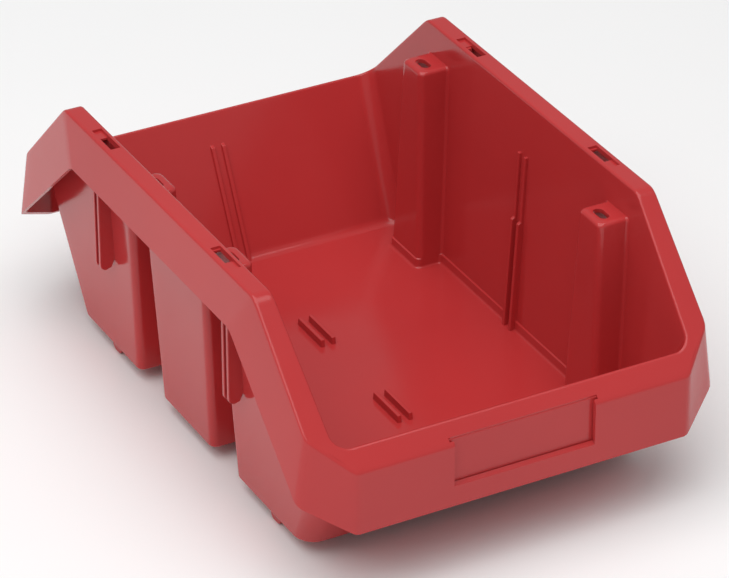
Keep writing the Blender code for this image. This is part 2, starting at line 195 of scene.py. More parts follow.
def wall_y(z):
    """Inside of an end wall, which leans much more."""
    return inner_y - END_DRAFT * (end_top - z)


def pillar_sizes(z):
    """Half width and inner face of a pillar at a height, changing evenly from the floor to the roof."""
    share = np.clip(z / roof_height, 0, 1)
    half = PILLAR_HALF[0] + (PILLAR_HALF[1] - PILLAR_HALF[0]) * share
    depth = PILLAR_DEPTH[0] + (PILLAR_DEPTH[1] - PILLAR_DEPTH[0]) * share
    return half, wall_x(np.minimum(z, roof_height)) - depth


def roof_draw(z, top):
    """Inset of the pillar's outline below its roof: the sagitta of a quarter round."""
    near = np.clip(z - (top - ROOF_EDGE), 0, ROOF_EDGE)
    return ROOF_EDGE - np.sqrt(ROOF_EDGE**2 - near**2)


# Plan outlines. Each works in the frame of one side: X outwards, P along the side. A point is given by
# its height z, and by out_x and out_p, how far the surface is moved outwards on faces that look that way.
ROOT_STEPS = 5
PILLAR_STEPS = (ROOT_STEPS, 5, 6, 6)  # columns along the root arc, the side, the edge arc and half the face


def pillar_path():
    """Half of a pillar's outline as codes: which of four stretches, and how far along it from 0 to 1."""
    codes = []
    for stretch, count in enumerate(PILLAR_STEPS):
        codes += [(stretch, i / count) for i in range(count)]
    return codes + [(len(PILLAR_STEPS), 0.0)]


def pillar_plan(middle, z, out_x, out_p, draw):
    """Outline of one pillar: root arc, side, edge arc and face, then the same mirrored about its middle."""
    half, face = pillar_sizes(z)
    half = half - draw - out_p
    face = face + draw + out_x
    wall = wall_x(z) + out_x
    edge = np.maximum(PILLAR_EDGE - out_p, LEAST_EDGE)
    root = np.maximum(PILLAR_ROOT + out_p, LEAST_ROOT)
    xs, ps = [], []
    for stretch, s in pillar_path():
        if stretch == 0:
            turn = math.radians(-90 * s)
            xs.append(wall - root + root * math.cos(turn))
            ps.append(half + root + root * math.sin(turn))
        elif stretch == 1:
            xs.append((wall - root) * (1 - s) + (face + edge) * s)
            ps.append(half)
        elif stretch == 2:
            turn = math.radians(90 + 90 * s)
            xs.append(face + edge + edge * math.cos(turn))
            ps.append(half - edge + edge * math.sin(turn))
        elif stretch == 3:
            xs.append(face)
            ps.append((half - edge) * (1 - s))
        else:
            xs.append(face)
            ps.append(half * 0.0)
    xs = [x + 0 * z for x in xs]
    ps = [p + 0 * z for p in ps]
    x = np.concatenate(xs + xs[-2::-1], axis=1)
    p = np.concatenate([-p for p in ps] + ps[-2::-1], axis=1)
    return x, middle + p


PILLAR_COLUMNS = 2 * len(pillar_path()) - 1


def pillar_end(middle, sign, z, out_p, draw):
    """Where the wall starts again beside a pillar."""
    half, _ = pillar_sizes(z)
    root = np.maximum(PILLAR_ROOT + out_p, LEAST_ROOT)
    return middle + sign * (half - draw - out_p + root)


# The parts of a side. For rows of heights, plan gives the points of their columns, and flat gives them as
# they are above the pillar roofs. tops gives the height at which each column reaches the band.


class Pillar:
    """Columns round a pillar. Above its roof they spread evenly along the wall."""

    def __init__(self, middle):
        self.middle = middle
        self.count = PILLAR_COLUMNS
        self.bead = 1.0
        self.root = SIDE_ROOT

    def plan(self, z, out_x, out_p, draw):
        rows = [np.broadcast_to(value, z.shape)[:, :1] for value in (z, out_x, out_p, draw)]
        return pillar_plan(self.middle, *rows)

    def flat(self, z, out_x, out_p, draw):
        share = np.linspace(-1, 1, self.count)[None, :]
        reach = pillar_end(0, 1, z, out_p, draw)
        return wall_x(z) + out_x + 0 * share, self.middle + reach * share

    def tops(self):
        return np.full(self.count, body_height)


PULL_REACH = 10.0  # how far from a pillar the wall's columns follow its roof edge


class Wall:
    """Columns of a stretch of side wall, between two pillars or a pillar and a corner.

    Beside a pillar the columns draw in with its roof edge, and less so further away.
    """

    def __init__(self, start, end, tops):
        self.start, self.end = start, end
        self.top_p = np.array(tops, float)
        self.count = len(tops)
        self.bead = 1.0
        self.root = SIDE_ROOT
        z = rim_z(self.top_p)[None, :]
        self.pull = 0 * z
        for kind, sign in (self.start, self.end):
            if kind is not None:
                away = np.abs(self.top_p[None, :] - pillar_end(kind, sign, z, 0, ROOF_EDGE))
                self.pull = self.pull - sign * np.clip(1 - away / PULL_REACH, 0, 1)
        low, high = self.ends(z, 0)
        plain = self.top_p[None, :] - self.pull * roof_draw(z, roof_height)
        self.share = (plain - low) / (high - low)

    def ends(self, z, out_p):
        found = []
        for kind, sign in (self.start, self.end):
            if kind is None:
                found.append(sign * (wall_y(z) - CORNER))
            else:
                found.append(pillar_end(kind, sign, z, out_p, 0))
        return found

    def plan(self, z, out_x, out_p, draw):
        low, high = self.ends(z, out_p)
        return wall_x(z) + out_x + 0 * z, low + (high - low) * self.share + self.pull * draw

    flat = plan

    def tops(self):
        return rim_z(self.top_p)


class Corner:
    """Columns round a corner, by angle; the first leaves the side and the last reaches the end."""

    def __init__(self, angles):
        self.angle = np.radians(np.array(angles, float))[None, :]
        self.count = self.angle.size
        self.bead = np.cos(self.angle) ** 4
        self.root = SIDE_ROOT + (END_ROOT - SIDE_ROOT) * np.sin(self.angle)

    def plan(self, z, out_x, out_p, draw):
        across = wall_x(z) - CORNER + (CORNER + out_x) * np.cos(self.angle)
        along = wall_y(z) - CORNER + (CORNER + out_p) * np.sin(self.angle)
        return across, along

    flat = plan

    def tops(self):
        reach = wall_y(0) - CORNER + CORNER * np.sin(self.angle)
        return ((body_height - rim_slope * (reach - flat_half)) / (1 + rim_slope * END_DRAFT))[0]


class End:
    """Columns of an end wall, by their place across it from 1 at the first corner to -1."""

    def __init__(self, shares):
        self.share = np.array(shares, float)[None, :]
        self.count = self.share.size
        self.bead = 0.0
        self.root = END_ROOT

    def plan(self, z, out_x, out_p, draw):
        return self.share * (wall_x(z) - CORNER), wall_y(z) + out_p + 0 * self.share

    flat = plan

    def tops(self):
        return np.full(self.count, end_top)


BEND_POINTS = 9


def corner_path(reach_x, inset):
    """Rim outline round a corner: two rounded vertices and the chamfer between, from side to end."""
    first = np.array([reach_x, half_length - CHAMFER_Y])
    second = np.array([half_rim - CHAMFER_X, half_length])
    points = []
    for before, vertex, after in (((reach_x, 0), first, second), (first, second, (0, half_length))):
        one = np.array(before) - vertex
        other = np.array(after) - vertex
        one = one / np.linalg.norm(one)
        other = other / np.linalg.norm(other)
        half = math.acos(np.dot(one, other)) / 2
        centre = vertex + (one + other) / np.linalg.norm(one + other) * RIM_CORNER / math.sin(half)
        start = np.arctan2(*(-(other - one * np.dot(one, other)))[::-1])
        stop = np.arctan2(*(-(one - other * np.dot(one, other)))[::-1])
        turns = np.linspace(start, stop, BEND_POINTS)
        spokes = np.stack([np.cos(turns), np.sin(turns)], axis=1)
        points.append(centre + (RIM_CORNER - inset) * spokes)
    return np.concatenate(points)


def along_path(points, share):
    """Points at given shares of a path, by length."""
    steps = np.concatenate([[0], np.cumsum(np.linalg.norm(np.diff(points, axis=0), axis=1))])
    return [np.interp(share, steps / steps[-1], points[:, i]) for i in (0, 1)]


def rim_lines(part, inset):
    """Outer edge of the band and lower edge of the skirt for a part's columns, moved inwards by inset."""
    outer = corner_path(half_rim, inset)
    lower = corner_path(skirt_reach, inset)
    if isinstance(part, Corner):
        share = (part.angle / (math.pi / 2))[0]
        return along_path(outer, share), along_path(lower, share)
    if isinstance(part, End):
        share = part.share[0]
        y = half_length - inset + 0 * share
        return (share * outer[-1, 0], y), (share * lower[-1, 0], y)
    p = part.top_p if isinstance(part, Wall) else part.flat(np.array([[body_height]]), 0, 0, ROOF_EDGE)[1][0]
    known = [-outer[0, 1], -flat_half, flat_half, outer[0, 1]]
    low = np.interp(p, known, [-lower[0, 1], -skirt_flat, skirt_flat, lower[0, 1]])
    return (half_rim - inset + 0 * p, p), (skirt_reach - inset + 0 * p, low)


def curve(a, b, c, shares):
    """Rows of a parabola from a to c that would meet at b, as plan points and heights."""
    s = np.array(shares)[:, None]
    return [(1 - s) ** 2 * p + 2 * s * (1 - s) * q + s**2 * r for p, q, r in zip(a, b, c)]


BAND_ROWS = [SLOT_ROWS[0], SLOT_ROWS[0] + STEP, 4.4, WINDOW_ROW, SLOT_ROWS[1] - STEP, SLOT_ROWS[1], CARD_ROW]
SKIRT_ROWS = (0.2, 0.42, (END_HEIGHT - LABEL_SILL) / (END_HEIGHT - end_skirt), 0.72, 0.86)
ROUND_SHARES = (0.0, 0.25, 0.5, 0.75, 1.0)
WALL_ROWS = (0.12, 0.3, 0.5, 0.7, 0.85, 0.95)  # shares of the way from the bead to the roofs
ROOF_EDGE_ROWS = 6
ABOVE_ROWS = (0.0, 0.35, 0.7)  # shares of the way from the roofs to the rim
ROOT_TURNS = (90, 90, 67, 45, 22, 0)  # degrees round the root fillet, from the floor up
FLOOR_MARGIN = 0.5  # flat border of the floor before the fillet starts
BEAD_CROWN = 0.3  # between the two rows that keep the top edge of the bead crisp
UNDER_START = (0.07, 0.02)  # least share of the band's underside for its first row, and a step for each next
UNDER_STOP = (0.83, 0.015)  # the greatest share, in the same way
MEETING_ROUNDS = 30  # steps that find where the outside of a wall meets the underside of the band


def lower_rows(part, back):
    """Rows from the floor to the height of the pillar roofs: root fillet, bead, wall, roof edge."""
    tops = part.tops()[None, :]
    turns = np.radians(np.array(ROOT_TURNS, float))[:, None]
    margin = FLOOR_MARGIN * (np.arange(len(ROOT_TURNS)) == 0)[:, None]
    root = (OUTER_ROOT if back else part.root) + 0 * tops
    floor = 0.0 if back else FLOOR
    heights = [floor + root * (1 - np.sin(turns))]
    insets = [margin + root * (1 - np.cos(turns))]
    beads = [1.0 + 0 * heights[0]]
    for z, bead in ((BEAD_TOP - BEAD_CROWN, 1.0), (BEAD_TOP, 1.0), (BEAD_TOP + BEAD_FADE, 0.0)):
        heights.append(z + 0 * tops)
        insets.append(0 * tops)
        beads.append(bead + 0 * tops)
    start = BEAD_TOP + BEAD_FADE
    roof = start + (roof_height - start) * (tops - start) / (body_height - start)
    if back:
        roof = roof - SKIN * (roof - start) / (roof_height - start)
    edge = np.sin(np.linspace(0, math.pi / 2, ROOF_EDGE_ROWS))
    levels = np.concatenate([np.array(WALL_ROWS), 1 - ROOF_EDGE / (roof_height - start) * (1 - edge)])
    rows = start + (roof - start) * levels[:, None]
    heights.append(rows)
    insets.append(0 * rows)
    beads.append(0 * rows)
    z = np.concatenate(heights)
    inset = np.concatenate(insets)
    bead = np.concatenate(beads) * part.bead * BEAD
    draw = roof_draw(z, roof_height) if not back else 0 * z
    out_x, out_p = (SKIN, SKIN) if back else (0, 0)
    if back and isinstance(part, (Corner, End)):
        out_p = SKIN + END_SKIN
    bead = 0 * bead if back else bead
    x, p = part.plan(z, out_x - inset - bead, out_p - inset, draw)
    return x + 0 * z, p + 0 * z, z + 0 * x, roof


def upper_rows(part, back, roof):
    """Rows from the height of the roofs over the rim to the skirt's lower edge."""
    inset = SKIN if back else 0.0
    out_x, out_p = (SKIN, SKIN) if back else (0.0, 0.0)
    if back and isinstance(part, (Corner, End)):
        out_p = SKIN + END_SKIN

    def plain(z):
        x, p = part.flat(z, out_x, out_p, 0 * z if back else roof_draw(z, roof_height))
        return x + 0 * z, p + 0 * z

    def surface(p):
        return rim_z(p) - (band_depth(p) if back else 0.0)

    top = part.tops()[None, :]
    (bx, bp), (lx, lp) = rim_lines(part, inset)
    straight = back and isinstance(part, (Wall, Pillar))
    for _ in range(MEETING_ROUNDS if back else 0):
        top = surface(bp[None, :] if straight else plain(top)[1])

    def wall(z):
        """The wall; its outside drifts along the side until its columns meet those of the inside."""
        x, p = plain(z)
        if straight:
            p = p + (bp - plain(top)[1]) * (z - roof) / (top - roof)
        return x, p

    ax, ap = wall(top)
    bz = surface(bp)
    edge_in = HIDDEN_EDGE if back else INNER_EDGE
    edge_out = HIDDEN_EDGE if back else OUTER_EDGE
    width = np.hypot(bx - ax, bp - ap)

    rows = np.array(BAND_ROWS)[:, None]
    if back:
        order = np.arange(len(BAND_ROWS))[:, None]
        least, most = (start + step * order for start, step in (UNDER_START, UNDER_STOP))
        rows = np.clip((rows - SKIN) / (BAND_SIDE - 2 * SKIN), least, most)
    else:
        rows = rows / BAND_SIDE + 0 * width

    def band(share):
        x = ax + (bx - ax) * share
        p = ap + (bp - ap) * share
        return x, p, surface(p)

    def skirt(share):
        x = bx + (lx - bx) * share
        p = bp + (lp - bp) * share
        z = bz + (skirt_z(lp) - bz) * share
        return x, p, z

    levels = np.array(ABOVE_ROWS)[:, None]
    z = roof + (top - edge_in - roof) * levels
    pieces = [(*wall(z), z)]
    under = top - edge_in
    pieces.append(curve((*wall(under), under), (ax, ap, top), band(edge_in / width), ROUND_SHARES))
    pieces.append(band(rows))
    drop = edge_out / (bz - skirt_z(lp))
    pieces.append(curve(band(1 - edge_out / width), (bx, bp, bz), skirt(drop), ROUND_SHARES))
    pieces.append(skirt(np.array(SKIRT_ROWS)[:, None]))
    pieces.append(skirt(np.array([[1.0]])))
    return [np.concatenate([rows_of(piece[i], part.count) for piece in pieces]) for i in range(3)]


def rows_of(values, count):
    """Values as rows over every column, where they may be the same for all of them."""
    values = np.atleast_2d(values)
    return np.broadcast_to(values, (len(values), count))


SECOND_CORNER = 7  # the part that is worked out as the first corner is, then mirrored across the bin
SLOT_MIDDLE = 58.0  # a column about halfway along a rim hole
PAST_SLOT = (80.0, 88.0)  # columns between a rim slot and the slope
MIDDLE_MARGIN = 6.0  # from the columns in the middle of a side to the slot or pillar beside them
MIDDLE_COLUMNS = 7
SLOPE_COLUMNS = 8
CREASE_COLUMNS = 7
CREASE_SPREAD = 1.2  # how far the columns of the crease reach from its middle, in times CREASE
CORNER_COLUMNS = 17


def side_parts(y):
    """The parts of one side, front to rear in its own frame, then the corner and the end that follow."""
    slots = [RECESS_Y[0], RECESS_Y[0] + STEP, HOLE_Y[0], SLOT_MIDDLE]
    slots += [HOLE_Y[1], RECESS_Y[1] - STEP, RECESS_Y[1]]
    near = y - (PILLAR_HALF[1] - ROOF_EDGE + PILLAR_ROOT)
    far = y + (PILLAR_HALF[1] - ROOF_EDGE + PILLAR_ROOT)
    last = inner_y - CORNER
    bend = list(flat_half + np.linspace(-CREASE_SPREAD, CREASE_SPREAD, CREASE_COLUMNS) * CREASE)
    inside = [p for p in slots if p < near]
    outside = [p for p in slots if p > far]
    reach = (inside or [near])[0] - MIDDLE_MARGIN
    middle = list(np.linspace(-reach, reach, MIDDLE_COLUMNS))
    between = [-near] + [-p for p in reversed(inside)] + middle + inside
    beyond = [far] + outside + (list(PAST_SLOT) if outside else []) + bend
    beyond += list(np.linspace(bend[-1], last, SLOPE_COLUMNS))[1:]
    before = [-p for p in reversed(beyond)][:-1]
    return [
        Wall((None, -1), (-y, -1), before),
        Pillar(-y),
        Wall((-y, 1), (y, -1), between[1:]),
        Pillar(y),
        Wall((y, 1), (None, 1), beyond[1:-1]),
        Corner(np.linspace(0, 90, CORNER_COLUMNS)),
        End(end_shares()),
        Corner(np.linspace(90, 0, CORNER_COLUMNS)[:-1]),
    ]


LABEL_MARGIN = 3.0
END_MARKS = (0.0, 12.0, 24.0, LABEL_HALF - LABEL_MARGIN, LABEL_HALF)
END_MARKS += (CARD_HALF, CARD_HALF + LABEL_MARGIN, 50.0, 65.0, 76.0)


def end_shares():
    """Columns of an end, with lines at the sides of the label window and of the card's slot."""
    half = np.array(END_MARKS) / corner_path(half_rim, 0)[-1, 0]
    return np.concatenate([half[::-1], -half[1:]])


def grids(back):
    """Lower and upper grid of one face of the sheet, once round, and the columns of each part."""
    lower, upper, spans = [], [], []
    count = 0
    for turn, y in ((1, PILLAR_Y["right"]), (-1, PILLAR_Y["left"])):
        for number, part in enumerate(side_parts(y)):
            low = lower_rows(part, back)
            high = upper_rows(part, back, low[3])
            low = low[:3]
            across = -turn if number == SECOND_CORNER else turn
            spans.append((turn, part, count))
            count += part.count
            lower.append(np.stack([across * low[0], turn * low[1], low[2]], axis=-1))
            upper.append(np.stack([across * high[0], turn * high[1], high[2]], axis=-1))
    return np.concatenate(lower, axis=1), np.concatenate(upper, axis=1), spans


FIRST_BAND_ROW = 8  # of the upper grid
MIDDLE_BAND_ROW = 10
BAND_MARGIN = 1.0  # how far inside the band's inner edge a point still belongs to the side band
# Rows of the upper grid that holes begin and end on.
RECESS_ROWS = (9, 12)
WINDOW_ROWS = (11, 22)
CARD_ROWS = (11, 14)


def carve_recesses(upper):
    """Lowers the band inside each rim slot. Its border lines lie close together, so the sides are steep."""
    across, along = np.abs(upper[FIRST_BAND_ROW, :, :2]).T
    inside = (along > RECESS_Y[0] + STEP / 2) & (along < RECESS_Y[1] - STEP / 2)
    inside &= across > inner_x - BAND_MARGIN
    upper[RECESS_ROWS[0]:RECESS_ROWS[1] + 1, inside, 2] -= RECESS


def open_cells(upper):
    """Cells of the upper grid that are kept, as a table by row and column."""
    rows, columns = upper.shape[:2]
    kept = np.ones((rows - 1, columns), bool)
    x, y = upper[MIDDLE_BAND_ROW, :, :2].T
    mid_x, mid_y = (x + np.roll(x, -1)) / 2, (y + np.roll(y, -1)) / 2
    hole = (np.abs(mid_y) > HOLE_Y[0]) & (np.abs(mid_y) < HOLE_Y[1])
    hole &= np.abs(mid_x) > inner_x - BAND_MARGIN
    front = mid_y < -inner_y
    window = front & (np.abs(mid_x) < LABEL_HALF)
    card = front & (np.abs(mid_x) < CARD_HALF)
    for columns_out, (first, last) in ((hole, RECESS_ROWS), (window, WINDOW_ROWS), (card, CARD_ROWS)):
        kept[first:last, columns_out] = False
    return kept


def slot_radius(turn, grow):
    """Distance from the middle of a round-ended slot to its edge, by direction."""
    radius = SLOT_RADIUS + grow
    side = radius / np.maximum(np.abs(np.cos(turn)), 1e-9)
    reach = SLOT_STRAIGHT * np.abs(np.sin(turn))
    round_end = reach + np.sqrt(np.maximum(radius**2 - (SLOT_STRAIGHT * np.cos(turn)) ** 2, 0))
    return np.where(side * np.abs(np.sin(turn)) <= SLOT_STRAIGHT, side, round_end)


SEAT_MARGIN = 0.5  # from a slot's edge to the ring round it
SLOT_MOUTH = ((0.12, 0.14), (0.0, 0.5))  # distance from the slot's edge and depth of the rings into it
ROOF_RINGS = 2 + len(SLOT_MOUTH)


def roof_rings(loop, middle, turn, back):
    """Rings of a pillar roof, from its outline to the edge of its slot, along rays from the slot's middle."""
    centre = turn * np.array([SEAT_X, middle])
    away = loop[:, :2] - centre
    ray = np.arctan2(away[:, 1], away[:, 0])
    unit = np.stack([np.cos(ray), np.sin(ray)], axis=1)
    full = np.linalg.norm(away, axis=1)
    level = loop[:, 2].mean()
    wide = slot_radius(ray, SEAT_MARGIN)
    rings = [((full + wide) / 2, level), (wide, level)]
    for grow, sink in SLOT_MOUTH:
        rings.append((slot_radius(ray, grow), level if back else level - sink))
    return [np.column_stack([centre + unit * r[:, None], np.full(len(r), z)]) for r, z in rings]


def quads(first, second, cyclic=True):
    """Faces between two rows of vertex numbers."""
    if cyclic:
        first, second = np.append(first, first[0]), np.append(second, second[0])
    return np.stack([first[:-1], first[1:], second[1:], second[:-1]], axis=1)


def face_points(back):
    """Vertices of one face of the sheet in a fixed order, so that both faces share their numbers."""
    lower, upper, spans = grids(back)
    if not back:
        carve_recesses(upper)
    points = [lower.reshape(-1, 3), upper.reshape(-1, 3)]
    for turn, part, start in spans:
        if isinstance(part, Pillar):
            columns = slice(start + ROOT_STEPS, start + part.count - ROOT_STEPS)
            loop = np.concatenate([lower[-1, columns], upper[0, columns][::-1]])
            points += roof_rings(loop, part.middle, turn, back)
    return np.concatenate(points), lower, upper, spans


def sheet_faces(lower, upper, spans):
    """Quads of one face of the sheet, and the floor as one flat face."""
    columns = lower.shape[1]
    low = np.arange(lower.shape[0] * columns).reshape(-1, columns)
    high = low.size + np.arange(upper.shape[0] * columns).reshape(-1, columns)
    over_pillar = np.zeros(columns, bool)
    rings = []
    for _, part, start in spans:
        if isinstance(part, Pillar):
            over_pillar[start + 1:start + part.count - 1] = True
            rings.append((start, part.count))
    high[0, ~over_pillar] = low[-1, ~over_pillar]
    faces = [quads(low[i], low[i + 1]) for i in range(len(low) - 1)]
    kept = open_cells(upper)
    faces += [quads(high[i], high[i + 1])[kept[i]] for i in range(len(high) - 1)]
    number = low.size + upper.shape[0] * columns
    for start, count in rings:
        first, last = start + ROOT_STEPS, start + count - ROOT_STEPS
        for root in (slice(start, first + 1), slice(last - 1, start + count)):
            faces.append(quads(low[-1, root], high[0, root], cyclic=False))
        loop = np.concatenate([low[-1, first:last], high[0, first:last][::-1]])
        for _ in range(ROOF_RINGS):
            ring = number + np.arange(len(loop))
            faces.append(quads(loop, ring))
            number += len(loop)
            loop = ring
    return np.concatenate(faces), low[0]


def border_edges(faces, floor):
    """Edges that only one face uses, each in that face's direction."""
    ends = np.concatenate([np.stack([faces[:, i], faces[:, (i + 1) % 4]], axis=1) for i in range(4)])
    ends = ends[ends[:, 0] != ends[:, 1]]
    ring = np.stack([floor, np.roll(floor, -1)], axis=1)
    key = np.sort(ends, axis=1)
    _, index, count = np.unique(key, axis=0, return_inverse=True, return_counts=True)
    single = ends[count[index.reshape(-1)] == 1]
    known = {tuple(edge) for edge in np.sort(ring, axis=1).tolist()}
    return np.array([edge for edge in single.tolist() if tuple(sorted(edge)) not in known])


SHEET_SHARP = 35  # degrees between two faces from which their edge stays sharp
BAR_SHARP = 30
BAR_EDGE = 0.4
ARC_POINTS = 6


def new_piece(name, points, faces, sharp_from):
    """A piece of the bin from points in the frame and faces, with its normals turned outwards."""
    mesh = bpy.data.meshes.new(name)
    mesh.from_pydata(points.tolist(), [], [list(dict.fromkeys(face)) for face in faces])
    solid = bmesh.new()
    solid.from_mesh(mesh)
    loose = [vertex for vertex in solid.verts if not vertex.link_faces]
    bmesh.ops.delete(solid, geom=loose, context="VERTS")
    bmesh.ops.recalc_face_normals(solid, faces=solid.faces)
    solid.to_mesh(mesh)
    solid.free()
    mesh.shade_smooth()
    mesh.set_sharp_from_angle(angle=math.radians(sharp_from))
    item = bpy.data.objects.new(name, mesh)
    bpy.context.collection.objects.link(item)
    return item


def bin_shell():
    """The moulded sheet: inside and outside faces joined along the skirt's edge and round every hole."""
    inside, lower, upper, spans = face_points(back=False)
    outside = face_points(back=True)[0]
    faces, floor = sheet_faces(lower, upper, spans)
    border = border_edges(faces, floor)
    count = len(inside)
    strips = np.column_stack([border, border[:, ::-1] + count])
    points = np.concatenate([inside, outside])
    all_faces = faces.tolist() + (faces[:, ::-1] + count).tolist() + strips.tolist()
    all_faces += [floor.tolist(), (floor[::-1] + count).tolist()]
    item = new_piece("bin_shell", in_frame(*points.T), all_faces, SHEET_SHARP)
    smooth_flats = item.modifiers.new("flat faces keep their light", "WEIGHTED_NORMAL")
    smooth_flats.keep_sharp = True
    return item


def bar(name, first, second):
    """A closed bar with softened edges, between two outlines of equally many points in millimetres."""
    first, second = np.array(first, float), np.array(second, float)
    count = len(first)
    number = np.arange(count)
    sides = quads(number, number + count).tolist()
    faces = sides + [number.tolist(), (number[::-1] + count).tolist()]
    item = new_piece(name, in_frame(*np.concatenate([first, second]).T), faces, BAR_SHARP)
    edge = item.modifiers.new("moulded edge", "BEVEL")
    edge.width = BAR_EDGE * MM
    edge.segments = 3
    edge.limit_method = "ANGLE"
    edge.angle_limit = math.radians(BAR_SHARP)
    edge.harden_normals = True
    return item


def arc(centre, radius, start, stop):
    """Points of a circular arc between two angles in degrees."""
    turn = np.radians(np.linspace(start, stop, ARC_POINTS))
    return np.column_stack([centre[0] + radius * np.cos(turn), centre[1] + radius * np.sin(turn)])


FIN_THICKNESS = 2.1
FIN_SPACING = 4.5
FIN_FROM_SLOPE = {"far": 24.9, "near": 35.5}
FIN_REACH = 3.3  # from the outer edge of the band back to the fin's edge
FIN_FOOT = 48.5
FIN_RISE = 5.5
FIN_RADIUS = 3.0
FIN_TOE_OUT = 1.6
FIN_TOE_RISE = 0.8
FIN_NOTCH = 16.0  # how far below the rim a fin that stands under a rim hole ends
SINK = 0.6  # how far a rib or fin runs into the sheet that it grows from


def bracket_fin(side, end, number):
    """A fin in X and Z: down the wall, out along a slanted foot, round, and up to its top.

    It reaches the band, apart from the inner fin of a near pair, which stands under a rim hole.
    """
    near = side * end > 0
    inner = number == (2 if end < 0 else 1)
    top = body_height - (FIN_NOTCH if near and inner else SKIN - SINK)
    outer = half_rim - FIN_REACH
    root = FIN_FOOT + FIN_RISE
    wall = SKIN - SINK
    foot = arc((outer - FIN_RADIUS, FIN_FOOT + FIN_RADIUS), FIN_RADIUS, -90, 0)
    outline = [(wall_x(top) + wall, top), (wall_x(root) + wall, root)]
    outline += [(wall_x(root) + SKIN + FIN_TOE_OUT, FIN_FOOT + FIN_TOE_RISE)]
    outline += foot.tolist() + [(outer, top)]
    back = FIN_FROM_SLOPE["near" if near else "far"]
    middle = end * (flat_half - back) + (number - 1.5) * FIN_SPACING
    return [
        [(side * x, middle + shift, z) for x, z in outline]
        for shift in (-FIN_THICKNESS / 2, FIN_THICKNESS / 2)
    ]


FOOT_LENGTH = 9.2
FOOT_WIDTH = 4.4
FOOT_RADIUS = 3.0


def foot(side, y):
    """A foot's outline in Y and Z, a tongue with a rounded lower end, as wide as the foot in X."""
    half = FOOT_LENGTH / 2
    low = -foot_height / MM
    outline = arc((y - half + FOOT_RADIUS, low + FOOT_RADIUS), FOOT_RADIUS, 180, 270).tolist()
    outline += arc((y + half - FOOT_RADIUS, low + FOOT_RADIUS), FOOT_RADIUS, 270, 360).tolist()
    outline += [(y + half, SINK), (y - half, SINK)]
    return [
        [(side * SEAT_X + across, py, pz) for py, pz in outline]
        for across in (-FOOT_WIDTH / 2, FOOT_WIDTH / 2)
    ]


RIB_GAP = 1.9
RIB_THICKNESS = 2.05
FLOOR_RIB_REACH = (25.6, 50.5)  # from the middle of the bin
FLOOR_RIB_HEIGHT = 3.7
FLOOR_RIB_SLOPE = 0.6
# Outlines of the wall ribs, as reach from the wall and height.
SIDE_RIB = ((-SINK, 2.0), (3.4, 2.0), (2.8, 60.3), (1.4, 61.2), (1.4, 95.5), (-SINK, 95.5))
END_RIB = ((-SINK, 2.0), (1.7, 2.0), (1.5, 55.0), (-SINK, 56.0))


def rib_pair(number):
    """The two faces of a rib, which stands a little away from the bin's middle plane."""
    far = RIB_GAP + RIB_THICKNESS
    return (-far, -RIB_GAP) if number == 1 else (RIB_GAP, far)


def floor_rib(end, number):
    """A rib along the floor, with its two ends sloped a little."""
    start, stop = FLOOR_RIB_REACH
    low, high = FLOOR - SINK, FLOOR + FLOOR_RIB_HEIGHT
    outline = [(start, low), (start + FLOOR_RIB_SLOPE, high), (stop - FLOOR_RIB_SLOPE, high), (stop, low)]
    return [[(x, end * y, z) for y, z in outline] for x in rib_pair(number)]


def side_rib(side, number):
    """A stepped rib on a side wall."""
    return [[(side * (wall_x(z) - reach), y, z) for reach, z in SIDE_RIB] for y in rib_pair(number)]


def end_rib(end, number):
    """A low rib on an end wall."""
    return [[(x, end * (wall_y(z) - reach), z) for reach, z in END_RIB] for x in rib_pair(number)]


PLATE_FACE = 6.2  # from the band's inner edge
PLATE_THICKNESS = 2.2
PLATE_BELOW_SILL = 3.5
PLATE_BESIDE_CARD = 2.5
PLATE_BACK_DROP = 2.6  # from the top of the band to the plate's upper edges
PLATE_FACE_DROP = 0.6


def label_plate():
    """The plate behind the window, with its top under the sloped band."""
    front = inner_y + PLATE_FACE
    back = front - PLATE_THICKNESS
    low = LABEL_SILL - PLATE_BELOW_SILL
    half = CARD_HALF + PLATE_BESIDE_CARD
    outline = [(front, low), (back, low)]
    outline += [(back, rim_z(back) - PLATE_BACK_DROP), (front, rim_z(front) - PLATE_FACE_DROP)]
    return [[(x, -y, z) for y, z in outline] for x in (-half, half)]


# Finishes.


SCUFF_TURN = (0.3, 0.2, 0.5)  # radians


def noise(tree, where, scale, detail=3.0, roughness=0.5, stretch=None):
    """A noise pattern on object coordinates, in cycles per metre. A stretched one is turned as well."""
    nodes, links = tree.nodes, tree.links
    source = where
    if stretch:
        mapping = nodes.new("ShaderNodeMapping")
        mapping.inputs["Scale"].default_value = stretch
        mapping.inputs["Rotation"].default_value = SCUFF_TURN
        links.new(where, mapping.inputs["Vector"])
        source = mapping.outputs["Vector"]
    pattern = nodes.new("ShaderNodeTexNoise")
    pattern.inputs["Scale"].default_value = scale
    pattern.inputs["Detail"].default_value = detail
    pattern.inputs["Roughness"].default_value = roughness
    links.new(source, pattern.inputs["Vector"])
    return pattern.outputs["Fac"]


def spread(tree, value, before, after):
    """A value moved from one range to another, and kept inside it."""
    node = tree.nodes.new("ShaderNodeMapRange")
    for name, number in zip(("From Min", "From Max", "To Min", "To Max"), (*before, *after)):
        node.inputs[name].default_value = number
    tree.links.new(value, node.inputs["Value"])
    return node.outputs["Result"]


def added(tree, first, second):
    """The sum of two values."""
    node = tree.nodes.new("ShaderNodeMath")
    node.operation = "ADD"
    for socket, value in zip(node.inputs, (first, second)):
        tree.links.new(value, socket)
    return node.outputs["Value"]


